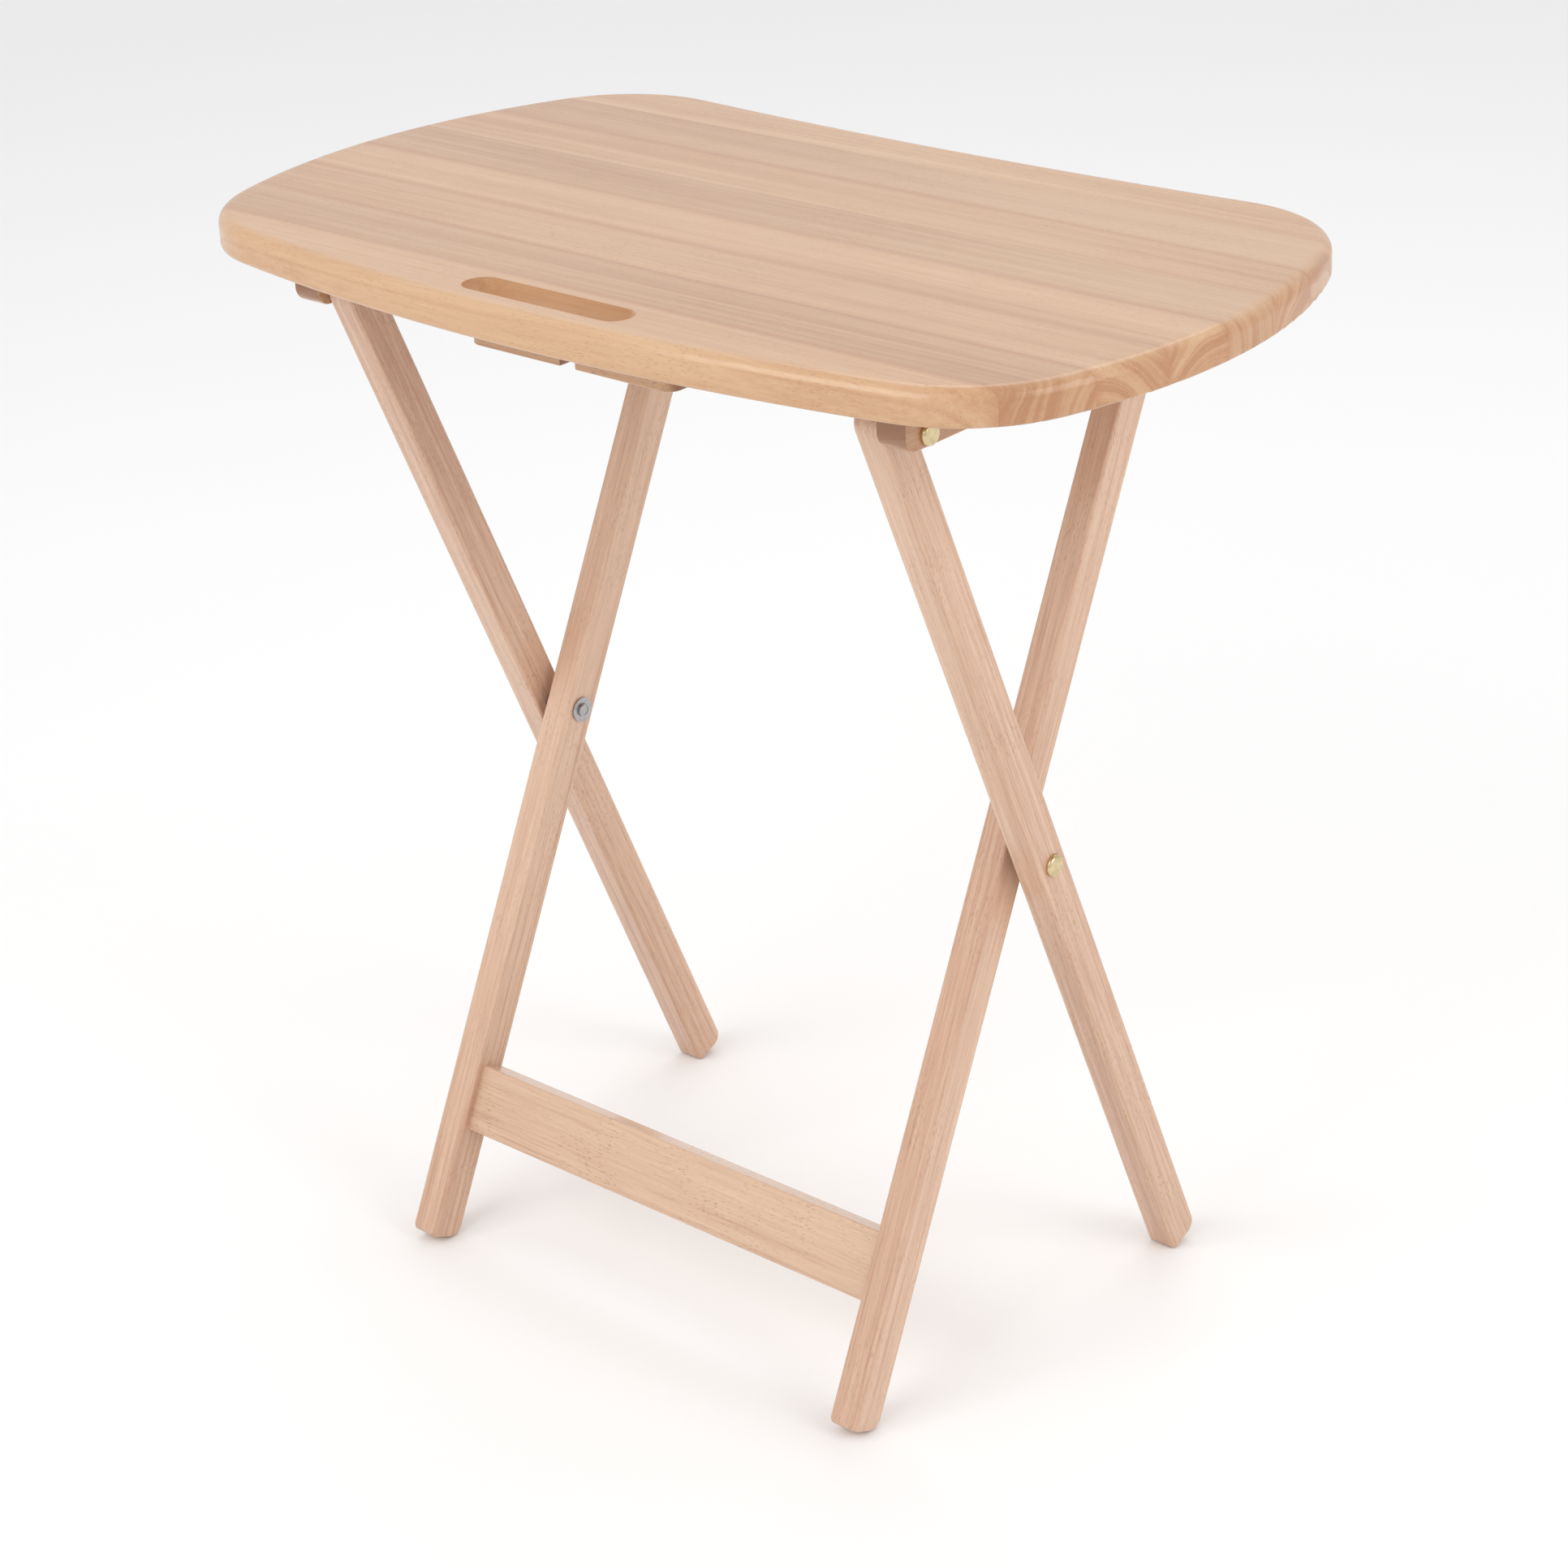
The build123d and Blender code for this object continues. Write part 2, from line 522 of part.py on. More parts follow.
def main():
    """Build every node and write it."""
    os.makedirs("parts", exist_ok=True)
    for number, board in enumerate(tabletop_boards(), start=1):
        write(f"tabletop_board_{number}", board)
    pairs = {
        "batten": batten(),
        "grip_block": grip_block(),
        "catch_block": catch_block(),
        "outer_leg": outer_leg(),
        "inner_leg": inner_leg(),
    }
    pairs.update(centre_pivot())
    pairs.update(top_pivot())
    for name, shape in pairs.items():
        for side in (1, -1):
            write(f"{side_name(side)}_{name}", mirrored(shape, side))
    write("batten_screws", [screw(x, y, batten_head_z()) for x, y in batten_screw_spots()])
    write("grip_block_screws", [screw(x, y, grip_head_z()) for x, y in grip_screw_spots()])
    write("catch_block_screws", [screw(x, y, catch_head_z()) for x, y in catch_screw_spots()])
    write("bottom_stretcher", stretcher())
    write("stretcher_dowels", stretcher_dowels())
    write("top_crossbar", crossbar())
    print("top pivot", round(TOP_PIVOT_Y, 2), round(TOP_PIVOT_Z, 2))
    print("crossbar", round(CROSSBAR_Y, 2), round(CROSSBAR_Z, 2))


main()
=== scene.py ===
"""Finishes, screws, light and camera for a folding tray table in lacquered rubberwood."""
from dataclasses import dataclass, field, replace
from enum import Enum
import json
import logging
import math
from typing import Any, Iterable, Union

import bmesh
import bpy
from mathutils import Matrix, Vector


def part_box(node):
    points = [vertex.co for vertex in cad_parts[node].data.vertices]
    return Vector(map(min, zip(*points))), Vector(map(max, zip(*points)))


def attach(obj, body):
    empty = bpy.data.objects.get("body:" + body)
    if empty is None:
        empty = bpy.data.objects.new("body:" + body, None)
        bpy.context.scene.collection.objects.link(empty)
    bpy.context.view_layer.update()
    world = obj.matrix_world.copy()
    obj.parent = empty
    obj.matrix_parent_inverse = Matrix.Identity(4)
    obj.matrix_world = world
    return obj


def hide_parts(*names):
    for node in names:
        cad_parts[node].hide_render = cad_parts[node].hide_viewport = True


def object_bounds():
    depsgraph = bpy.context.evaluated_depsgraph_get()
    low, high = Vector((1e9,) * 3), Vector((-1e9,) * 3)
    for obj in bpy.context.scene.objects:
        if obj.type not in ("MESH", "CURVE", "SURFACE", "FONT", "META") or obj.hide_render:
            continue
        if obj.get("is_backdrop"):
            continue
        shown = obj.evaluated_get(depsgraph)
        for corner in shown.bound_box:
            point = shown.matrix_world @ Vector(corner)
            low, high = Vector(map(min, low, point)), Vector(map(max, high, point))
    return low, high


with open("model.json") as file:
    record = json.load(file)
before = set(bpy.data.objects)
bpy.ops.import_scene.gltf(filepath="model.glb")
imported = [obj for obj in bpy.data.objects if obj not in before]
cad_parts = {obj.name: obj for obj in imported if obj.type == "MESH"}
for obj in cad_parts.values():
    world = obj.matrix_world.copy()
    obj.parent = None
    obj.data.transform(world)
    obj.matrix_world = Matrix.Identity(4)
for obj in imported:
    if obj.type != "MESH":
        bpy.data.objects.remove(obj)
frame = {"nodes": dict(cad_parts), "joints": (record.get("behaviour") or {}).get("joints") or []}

LOG = logging.getLogger("tray_table")
MILLIMETRE = 0.001
Colour = tuple[float, float, float]
Triple = tuple[float, float, float]


# ---------------------------------------------------------------- reading the frame


def node_middle(node: str) -> Vector:
    """Return the middle of a CAD node's box."""
    low, high = (Vector(corner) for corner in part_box(node))
    return (low + high) / 2


def joint_place(name: str) -> Vector:
    """Return the point that a joint turns about.

    Args:
        name: the joint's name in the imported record.

    Returns:
        The joint's position at rest, in metres.
    """
    return next(Vector(joint["pos_m"]) for joint in frame["joints"] if joint["name"] == name)


def lean_of(low: Vector, high: Vector) -> float:
    """Return how far a line from low to high leans from upright towards +Y, in radians."""
    return math.atan2(high.y - low.y, high.z - low.z)


class Grain(Enum):
    """The way that a piece's fibres run."""

    LONG_SIDE = "along the long side of the top"
    SHORT_SIDE = "along the short side of the top"
    INNER_LEG = "up the inner legs"
    OUTER_LEG = "up the outer legs"

    def turn(self) -> Triple:
        """Return the turn that brings this grain direction onto X.

        Returns:
            Euler angles in radians.
        """
        pivot = joint_place("leg_fold")
        if self is Grain.LONG_SIDE:
            return (0.0, 0.0, 0.0)
        if self is Grain.SHORT_SIDE:
            return (0.0, 0.0, -math.pi / 2)
        top = node_middle("top_crossbar") if self is Grain.INNER_LEG else joint_place("top_lift")
        return (lean_of(pivot, top), math.pi / 2, 0.0)


# ---------------------------------------------------------------- shader trees


Number = Union["Value", float]


class Value:
    """A number socket in a shader tree, with its maths written as Python operators."""

    def __init__(self, tree: "ShaderTree", socket: Any) -> None:
        """Wrap one output socket of a node in a tree."""
        self.tree = tree
        self.socket = socket

    def _math(self, operation: str, first: Number, second: Number) -> "Value":
        """Return a Math node's result on two numbers or sockets."""
        node = self.tree.node("ShaderNodeMath", {"operation": operation}, {0: first, 1: second})
        return Value(self.tree, node.outputs[0])

    def __add__(self, other: Number) -> "Value":
        """Return self + other."""
        return self._math("ADD", self, other)

    def __radd__(self, other: Number) -> "Value":
        """Return other + self."""
        return self._math("ADD", other, self)

    def __sub__(self, other: Number) -> "Value":
        """Return self - other."""
        return self._math("SUBTRACT", self, other)

    def __rsub__(self, other: Number) -> "Value":
        """Return other - self."""
        return self._math("SUBTRACT", other, self)

    def __mul__(self, other: Number) -> "Value":
        """Return self * other."""
        return self._math("MULTIPLY", self, other)

    def __rmul__(self, other: Number) -> "Value":
        """Return other * self."""
        return self._math("MULTIPLY", other, self)

    def __abs__(self) -> "Value":
        """Return the size of this value without its sign."""
        return self._math("ABSOLUTE", self, 0.0)

    def between(self, low: float, high: float) -> "Value":
        """Return 0 up to low and 1 from high on, eased between them.

        Args:
            low: the value that gives 0.
            high: the value that gives 1, which may be the smaller one.

        Returns:
            The eased value.
        """
        node = self.tree.node(
            "ShaderNodeMapRange",
            {"interpolation_type": "SMOOTHSTEP"},
            {"Value": self, "From Min": low, "From Max": high},
        )
        return Value(self.tree, node.outputs["Result"])


class ShaderTree:
    """A new material and the nodes that make its surface."""

    def __init__(self, name: str) -> None:
        """Start a material with a Principled surface and nothing else.

        Args:
            name: the material's name.
        """
        self.material = bpy.data.materials.new(name)
        self.material.use_nodes = True
        self.nodes = self.material.node_tree.nodes
        self.links = self.material.node_tree.links
        self.surface = self.nodes["Principled BSDF"]

    def node(self, kind: str, settings: dict[str, Any], inputs: dict[Any, Any]) -> Any:
        """Add a node.

        Args:
            kind: the node's type.
            settings: its properties, set first.
            inputs: its input sockets by name or number, each a constant, a Value or a socket.

        Returns:
            The node.
        """
        made = self.nodes.new(kind)
        for name, setting in settings.items():
            if name == "stops":
                self._set_stops(made.color_ramp, setting)
            else:
                setattr(made, name, setting)
        self.feed(made, inputs)
        return made

    def feed(self, node: Any, inputs: dict[Any, Any]) -> None:
        """Set or link a node's input sockets.

        Args:
            node: the node.
            inputs: its sockets by name or number, each a constant, a Value or a socket.
        """
        for key, item in inputs.items():
            socket = item.socket if isinstance(item, Value) else item
            if isinstance(socket, bpy.types.NodeSocket):
                self.links.new(socket, node.inputs[key])
            else:
                node.inputs[key].default_value = socket

    @staticmethod
    def _set_stops(ramp: Any, stops: Iterable[tuple[float, Colour]]) -> None:
        """Give a colour ramp its stops.

        Args:
            ramp: the colour ramp.
            stops: the place and colour of each stop, first to last.
        """
        for index, (place, colour) in enumerate(stops):
            element = ramp.elements[index] if index < 2 else ramp.elements.new(place)
            element.position = place
            element.color = (*colour, 1.0)

    def centred(self, middle: Vector, turn: Triple) -> Any:
        """Return the object's own coordinates, moved to a middle and then turned about it.

        Args:
            middle: the point that becomes the origin.
            turn: Euler angles in radians.

        Returns:
            The vector socket.
        """
        coordinates = self.node("ShaderNodeTexCoord", {}, {}).outputs["Object"]
        moved = self.node("ShaderNodeMapping", {},
                          {"Vector": coordinates, "Location": tuple(-middle)})
        turned = self.node("ShaderNodeMapping", {}, {"Vector": moved.outputs[0], "Rotation": turn})
        return turned.outputs[0]

    def stretched(self, vector: Any, shift: Triple, along: float) -> Any:
        """Return a vector shifted, and scaled along X so that a pattern on it is drawn out.

        Args:
            vector: the socket to start from.
            shift: what is added.
            along: the scale along X, where less than 1 draws the pattern out.

        Returns:
            The vector socket.
        """
        node = self.node("ShaderNodeMapping", {},
                         {"Vector": vector, "Location": shift, "Scale": (along, 1.0, 1.0)})
        return node.outputs[0]

    def noise(self, vector: Any, scale: float, detail: float, roughness: float = 0.5) -> Value:
        """Return a noise texture's value at a vector.

        Args:
            vector: the socket that the noise is read at.
            scale: how fine the noise is, in cells per metre.
            detail: how many finer layers are added.
            roughness: how strong the finer layers are.

        Returns:
            The noise, round 0.5.
        """
        node = self.node(
            "ShaderNodeTexNoise",
            {},
            {"Vector": vector, "Scale": scale, "Detail": detail, "Roughness": roughness},
        )
        return Value(self, node.outputs["Fac"])

    def mix(self, factor: Number, first: Any, second: Any) -> Any:
        """Return two colours mixed.

        Args:
            factor: how much of the second colour is used.
            first: the first colour or its socket.
            second: the second colour or its socket.

        Returns:
            The colour socket.
        """
        node = self.node(
            "ShaderNodeMix",
            {"data_type": "RGBA", "blend_type": "MIX"},
            {0: factor, 6: self._colour(first), 7: self._colour(second)},
        )
        return node.outputs[2]

    @staticmethod
    def _colour(item: Any) -> Any:
        """Return a plain colour with an alpha of 1, and anything else as it is."""
        return (*item, 1.0) if isinstance(item, tuple) and len(item) == 3 else item

    def bump(self, height: Value, distance: float, strength: float) -> Any:
        """Return the normal that a height gives.

        Args:
            height: the height, from 0 to 1.
            distance: what a height of 1 stands for, in metres.
            strength: how much of the effect is used.

        Returns:
            The normal socket.
        """
        node = self.node(
            "ShaderNodeBump", {}, {"Height": height, "Distance": distance, "Strength": strength}
        )
        return node.outputs["Normal"]


# ---------------------------------------------------------------- finishes


@dataclass(frozen=True)
class Rubberwood:
    """Plantation hardwood under a thin satin lacquer, with soft bands and short open pores."""

    name: str
    grain: Grain
    seed: float
    middle: Vector
    pale: Colour = (0.632, 0.412, 0.244)
    mid: Colour = (0.548, 0.322, 0.175)
    deep: Colour = (0.440, 0.215, 0.105)
    # End-grain colour; the battens and blocks pass a darker one that also holds painted shade.
    end_grain_and_shade: Colour = (0.450, 0.200, 0.085)
    end_strength: float = 0.40
    pore: Colour = (0.290, 0.130, 0.065)
    tone_middle: float = 0.46
    ring_contrast: float = 0.30
    cloud_contrast: float = 0.70
    end_ring_contrast: float = 0.75
    band_contrast: float = 1.0
    line_contrast: float = 0.45
    fibre_contrast: float = 0.45
    pore_amount: float = 1.0
    pore_strength: float = 0.75
    streak_strength: float = 0.75
    glue_strength: float = 0.35
    ring_spacing: float = 0.0085
    pith: tuple[float, float] = (0.012, 0.045)
    streak: Colour = (0.440, 0.200, 0.095)
    joints_y: tuple[float, ...] = ()
    streaked: tuple[float, ...] = ()
    streak_width: float = 0.0065
    glue_line: float = 0.35 * MILLIMETRE
    lacquer: float = 0.55

    def build(self) -> Any:
        """Make the material.

        Returns:
            The material.
        """
        tree = ShaderTree(self.name)
        place = tree.centred(self.middle, self.grain.turn())
        shift = (self.seed * 1.37, self.seed * 0.71, self.seed * 0.43)
        solid = tree.stretched(place, shift, 1.0)
        long_grain = tree.stretched(place, shift, 0.045)

        sway = tree.noise(long_grain, 14.0, 2.0)
        rings = self._rings(tree, place, sway)
        bands = tree.noise(long_grain, 34.0, 3.0, 0.55).between(0.32, 0.70)
        fibres = tree.noise(tree.stretched(place, shift, 0.03), 900.0, 2.0, 0.6)
        lines = tree.noise(tree.stretched(place, shift, 0.012), 330.0, 2.0, 0.6)
        clouds = tree.noise(tree.stretched(place, shift, 0.25), 9.0, 1.0)
        ends = self._ends(tree)

        tone = (
            self.tone_middle
            + (rings - 0.5) * (self.ring_contrast * self.band_contrast)
            + (bands - 0.5) * (self.ring_contrast * self.band_contrast)
            + (clouds - 0.5) * self.cloud_contrast
            + (fibres - 0.5) * self.fibre_contrast
            + (lines - 0.5) * self.line_contrast
            + (rings - 0.5) * ends * self.end_ring_contrast
        )
        ramp = tree.node(
            "ShaderNodeValToRGB",
            {"stops": ((0.08, self.deep), (0.48, self.mid), (0.92, self.pale))},
            {"Fac": tone},
        )
        colour = ramp.outputs["Color"]
        if self.joints_y:
            colour = tree.mix(self._streaks(tree, sway, lines), colour, self.streak)
            colour = tree.mix(self._glue_lines(tree), colour, self.pore)
        # End faces are mixed towards the end-grain colour, which on the battens and blocks also
        # holds painted shade.
        colour = tree.mix(ends * self.end_strength, colour, self.end_grain_and_shade)
        pores = self._pores(tree, tree.stretched(place, shift, 0.17), solid)
        colour = tree.mix(pores * self.pore_strength, colour, self.pore)

        wear = tree.noise(solid, 45.0, 3.0)
        roughness = 0.36 + (wear - 0.5) * 0.14 + pores * 0.22 + ends * 0.10
        height = fibres * 0.25 - pores * 1.0 + wear * 0.10
        tree.feed(
            tree.surface,
            {
                "Base Color": colour,
                "Roughness": roughness,
                "Normal": tree.bump(height, 0.22 * MILLIMETRE, 0.55),
                "Coat Weight": self.lacquer,
                "Coat Roughness": 0.12,
                "Coat IOR": 1.48,
                "Specular IOR Level": 0.42,
            },
        )
        return tree.material

    def _rings(self, tree: ShaderTree, place: Any, sway: Value) -> Value:
        """Return soft growth rings round a pith beside the piece.

        Args:
            tree: the tree to add to.
            place: coordinates with the grain along X.
            sway: a slow noise that makes the rings wander.

        Returns:
            0 in early wood and 1 in late wood.
        """
        from_pith = tree.stretched(place, (0.0, *self.pith), 0.012)
        length = tree.node("ShaderNodeVectorMath", {"operation": "LENGTH"}, {0: from_pith})
        radius = Value(tree, length.outputs["Value"]) + (sway - 0.5) * 0.030
        node = tree.node(
            "ShaderNodeTexNoise",
            {"noise_dimensions": "1D"},
            {"W": radius + self.seed, "Scale": 1.0 / self.ring_spacing, "Detail": 3.0,
             "Roughness": 0.68},
        )
        return Value(tree, node.outputs["Fac"]).between(0.28, 0.72)

    def _ends(self, tree: ShaderTree) -> Value:
        """Return where the piece shows end grain.

        Args:
            tree: the tree to add to.

        Returns:
            1 on end grain and 0 on the long faces.
        """
        normal = tree.node("ShaderNodeTexCoord", {}, {}).outputs["Normal"]
        turned = tree.node(
            "ShaderNodeMapping", {"vector_type": "NORMAL"},
            {"Vector": normal, "Rotation": self.grain.turn()},
        )
        split = tree.node("ShaderNodeSeparateXYZ", {}, {0: turned.outputs[0]})
        return abs(Value(tree, split.outputs["X"])).between(0.45, 0.95)

    def _beside(self, tree: ShaderTree, lines: Iterable[float], reach: float,
                sway: Number = 0.0) -> Number:
        """Return 1 on lines along the long side of the top, easing to 0 away from them.

        Args:
            tree: the tree to add to.
            lines: where the lines lie along Y.
            reach: how far the easing runs, in metres.
            sway: how far the lines wander, in metres.

        Returns:
            The mask.
        """
        place = tree.node("ShaderNodeTexCoord", {}, {}).outputs["Object"]
        split = tree.node("ShaderNodeSeparateXYZ", {}, {0: place})
        across = Value(tree, split.outputs["Y"]) + sway
        mask: Number = 0.0
        for middle in lines:
            mask = abs(across - middle).between(reach, 0.0) + mask
        return mask

    def _streaks(self, tree: ShaderTree, sway: Value, lines: Value) -> Value:
        """Return the darker mineral streaks that run beside some glue lines of the top."""
        near = self._beside(tree, self.streaked, self.streak_width, (sway - 0.5) * 0.008)
        return lines.between(0.20, 0.70) * self.streak_strength * near

    def _glue_lines(self, tree: ShaderTree) -> Value:
        """Return the hair lines where the boards of the top are glued edge to edge."""
        return self._beside(tree, self.joints_y, self.glue_line) * self.glue_strength

    def _pores(self, tree: ShaderTree, drawn_out: Any, solid: Any) -> Value:
        """Return the open pores: short dark dashes along the grain, dots on end grain.

        Args:
            tree: the tree to add to.
            drawn_out: coordinates drawn out along the grain.
            solid: coordinates at their true proportions.

        Returns:
            The mask.
        """
        cells = tree.node(
            "ShaderNodeTexVoronoi",
            {},
            {"Vector": drawn_out, "Scale": 950.0, "Randomness": 1.0},
        )
        dashes = Value(tree, cells.outputs["Distance"]).between(0.34, 0.14)
        patches = tree.noise(solid, 26.0, 2.0).between(0.36, 0.66)
        return dashes * (0.20 + patches * 0.80) * self.pore_amount


@dataclass(frozen=True)
class PlatedSteel:
    """A small turned steel part under a thin bright plating."""

    name: str
    base: Colour
    tint: Colour
    roughness: float
    bare: Colour = (0.430, 0.420, 0.415)
    bare_within: float = 0.0

    def build(self) -> Any:
        """Make the material.

        Returns:
            The material.
        """
        tree = ShaderTree(self.name)
        place = tree.node("ShaderNodeTexCoord", {}, {}).outputs["Object"]
        cloud = tree.noise(place, 260.0, 2.0)
        grime = tree.noise(place, 900.0, 4.0, 0.7)
        brushed = tree.noise(tree.stretched(place, (0.0, 0.0, 0.0), 0.08), 5200.0, 2.0)
        colour = tree.mix(cloud.between(0.38, 0.66), self.base, self.tint)
        if self.bare_within:
            split = tree.node("ShaderNodeSeparateXYZ", {}, {0: place})
            reach = abs(Value(tree, split.outputs["X"]))
            worn = reach.between(self.bare_within + MILLIMETRE, self.bare_within)
            colour = tree.mix(worn, colour, self.bare)
        tree.feed(
            tree.surface,
            {
                "Base Color": colour,
                "Metallic": 1.0 - grime.between(0.62, 0.80) * 0.25,
                "Roughness": self.roughness + (grime - 0.5) * 0.22,
                "Normal": tree.bump(brushed + grime * 0.5, 0.04 * MILLIMETRE, 0.6),
            },
        )
        return tree.material


@dataclass(frozen=True)
class StudioFloor:
    """A seamless pale floor with the faintest mottle of painted board."""

    name: str = "studio_floor"
    shade: Colour = (0.93, 0.93, 0.93)

    def build(self) -> Any:
        """Make the material.

        Returns:
            The material.
        """
        tree = ShaderTree(self.name)
        place = tree.node("ShaderNodeTexCoord", {}, {}).outputs["Object"]
        mottle = tree.noise(place, 3.0, 2.0)
        darker = tuple(0.985 * channel for channel in self.shade)
        tree.feed(tree.surface, {"Base Color": tree.mix(mottle, self.shade, darker),
                                 "Roughness": 0.85})
        return tree.material


ZINC = PlatedSteel("yellow_zinc", (0.700, 0.575, 0.350), (0.600, 0.480, 0.280), 0.12)
BOLT_ZINC = replace(ZINC, name="bolt_zinc", bare_within=0.168)
STEEL = PlatedSteel("plain_steel", (0.47, 0.46, 0.45), (0.38, 0.37, 0.38), 0.28)


def finish_nodes(finish: Union[Rubberwood, PlatedSteel], nodes: Iterable[str]) -> None:
    """Give CAD nodes one finish.

    Args:
        finish: the finish, built once for all of them.
        nodes: the nodes' names.
    """
    material = finish.build()
    for name in nodes:
        for slot in frame["nodes"][name].material_slots:
            slot.material = material
        LOG.info("%s finished in %s", name, finish.name)


def both(name: str) -> tuple[str, str]:
    """Return the left and right nodes of a mirrored piece."""
    return (f"left_{name}", f"right_{name}")


# ---------------------------------------------------------------- screws


class ScrewTree:
    """A Geometry Nodes tree that sets a cross-headed wood screw at each point of a mesh."""

    INPUTS = (
        ("Head Radius", 0.004),
        ("Head Height", 0.0024),
        ("Core Radius", 0.0014),
        ("Thread Radius", 0.0019),
        ("Pitch", 0.0018),
        ("Length", 0.020),
        ("Recess Length", 0.0046),
        ("Recess Width", 0.0011),
        ("Recess Depth", 0.0015),
    )
    TURN_SEED = 11

    def __init__(self, material: Any) -> None:
        """Build the tree.

        Args:
            material: the material of every screw.
        """
        self.group = bpy.data.node_groups.new("wood_screws", "GeometryNodeTree")
        face = self.group.interface
        face.new_socket("Places", in_out="INPUT", socket_type="NodeSocketGeometry")
        self.keys: dict[str, str] = {}
        for name, default in self.INPUTS:
            socket = face.new_socket(name, in_out="INPUT", socket_type="NodeSocketFloat")
            socket.default_value = default
            self.keys[name] = socket.identifier
        face.new_socket("Screws", in_out="OUTPUT", socket_type="NodeSocketGeometry")
        self.source = self.group.nodes.new("NodeGroupInput")
        self._connect(material)

    def _node(self, kind: str, settings: dict[str, Any], inputs: dict[Any, Any]) -> Any:
        """Add a node.

        Args:
            kind: the node's type.
            settings: its properties, set first.
            inputs: its input sockets by name or number, each a constant or a socket.

        Returns:
            The node.
        """
        made = self.group.nodes.new(kind)
        for name, setting in settings.items():
            setattr(made, name, setting)
        for key, item in inputs.items():
            if isinstance(item, bpy.types.NodeSocket):
                self.group.links.new(item, made.inputs[key])
            else:
                made.inputs[key].default_value = item
        return made

    def _size(self, name: str) -> Any:
        """Return the socket of one of the named inputs."""
        return self.source.outputs[name]

    def _maths(self, operation: str, first: Any, second: Any) -> Any:
        """Return a Math node's result."""
        node = self._node("ShaderNodeMath", {"operation": operation}, {0: first, 1: second})
        return node.outputs[0]

    def _raised(self, mesh: Any, height: Any) -> Any:
        """Return a mesh moved up by a height."""
        up = self._node("ShaderNodeCombineXYZ", {}, {"Z": height}).outputs[0]
        return self._node("GeometryNodeTransform", {}, {0: mesh, "Translation": up}).outputs[0]

    def _head(self) -> Any:
        """Add the countersunk head with its cross recess, face down at height 0.

        Returns:
            The mesh socket.
        """
        cone = self._node(
            "GeometryNodeMeshCone",
            {},
            {"Vertices": 40, "Radius Bottom": self._size("Head Radius"),
             "Radius Top": self._size("Core Radius"), "Depth": self._size("Head Height")},
        ).outputs["Mesh"]
        depth = self._maths("MULTIPLY", self._size("Recess Depth"), 2.0)
        slots = []
        for names in (("Recess Length", "Recess Width"), ("Recess Width", "Recess Length")):
            size = self._node(
                "ShaderNodeCombineXYZ", {},
                {"X": self._size(names[0]), "Y": self._size(names[1]), "Z": depth},
            ).outputs[0]
            slots.append(self._node("GeometryNodeMeshCube", {}, {"Size": size}).outputs["Mesh"])
        cut = self._node("GeometryNodeMeshBoolean", {"operation": "DIFFERENCE", "solver": "EXACT"},
                         {"Mesh 1": cone})
        for recess in slots:
            self.group.links.new(recess, cut.inputs["Mesh 2"])
        return cut.outputs["Mesh"]

    def _shank(self) -> Any:
        """Add the core and its thread, from under the head to the tip.

        Returns:
            The mesh socket.
        """
        core = self._node(
            "GeometryNodeMeshCylinder",
            {},
            {"Vertices": 20, "Radius": self._size("Core Radius"), "Depth": self._size("Length")},
        ).outputs["Mesh"]
        core = self._raised(core, self._maths("MULTIPLY", self._size("Length"), 0.5))
        low = self._size("Head Height")
        run = self._maths("SUBTRACT", self._size("Length"), low)
        turns = self._maths("DIVIDE", run, self._size("Pitch"))
        helix = self._node(
            "GeometryNodeCurveSpiral",
            {},
            {"Resolution": 16, "Rotations": turns, "Start Radius": self._size("Core Radius"),
             "End Radius": self._size("Core Radius"), "Height": run},
        ).outputs["Curve"]
        ridge_radius = self._maths(
            "SUBTRACT", self._size("Thread Radius"), self._size("Core Radius")
        )
        ridge = self._node("GeometryNodeCurvePrimitiveCircle", {},
                           {"Resolution": 4, "Radius": ridge_radius}).outputs["Curve"]
        thread = self._node(
            "GeometryNodeCurveToMesh",
            {},
            {"Curve": helix, "Profile Curve": ridge, "Fill Caps": True},
        ).outputs["Mesh"]
        return self._join(core, self._raised(thread, low))

    def _join(self, *meshes: Any) -> Any:
        """Join meshes into one geometry.

        Args:
            meshes: the mesh sockets.

        Returns:
            The geometry socket.
        """
        join = self._node("GeometryNodeJoinGeometry", {}, {})
        for mesh in meshes:
            self.group.links.new(mesh, join.inputs[0])
        return join.outputs[0]

    def _connect(self, material: Any) -> None:
        """Set the screw on every point, each turned by its own angle, and output one mesh.

        Args:
            material: the material of every screw.
        """
        points = self._node("GeometryNodeMeshToPoints", {},
                            {"Mesh": self.source.outputs["Places"]})
        angle = self._node(
            "FunctionNodeRandomValue", {"data_type": "FLOAT"},
            {2: 0.0, 3: math.tau, "Seed": self.TURN_SEED},
        ).outputs[1]
        turn = self._node("ShaderNodeCombineXYZ", {}, {"Z": angle}).outputs[0]
        screw = self._join(self._head(), self._shank())
        placed = self._node(
            "GeometryNodeInstanceOnPoints",
            {},
            {"Points": points.outputs["Points"], "Instance": screw, "Rotation": turn},
        )
        real = self._node("GeometryNodeRealizeInstances", {}, {0: placed.outputs["Instances"]})
        dressed = self._node("GeometryNodeSetMaterial", {},
                             {"Geometry": real.outputs[0], "Material": material})
        sink = self.group.nodes.new("NodeGroupOutput")
        self.group.links.new(dressed.outputs[0], sink.inputs[0])


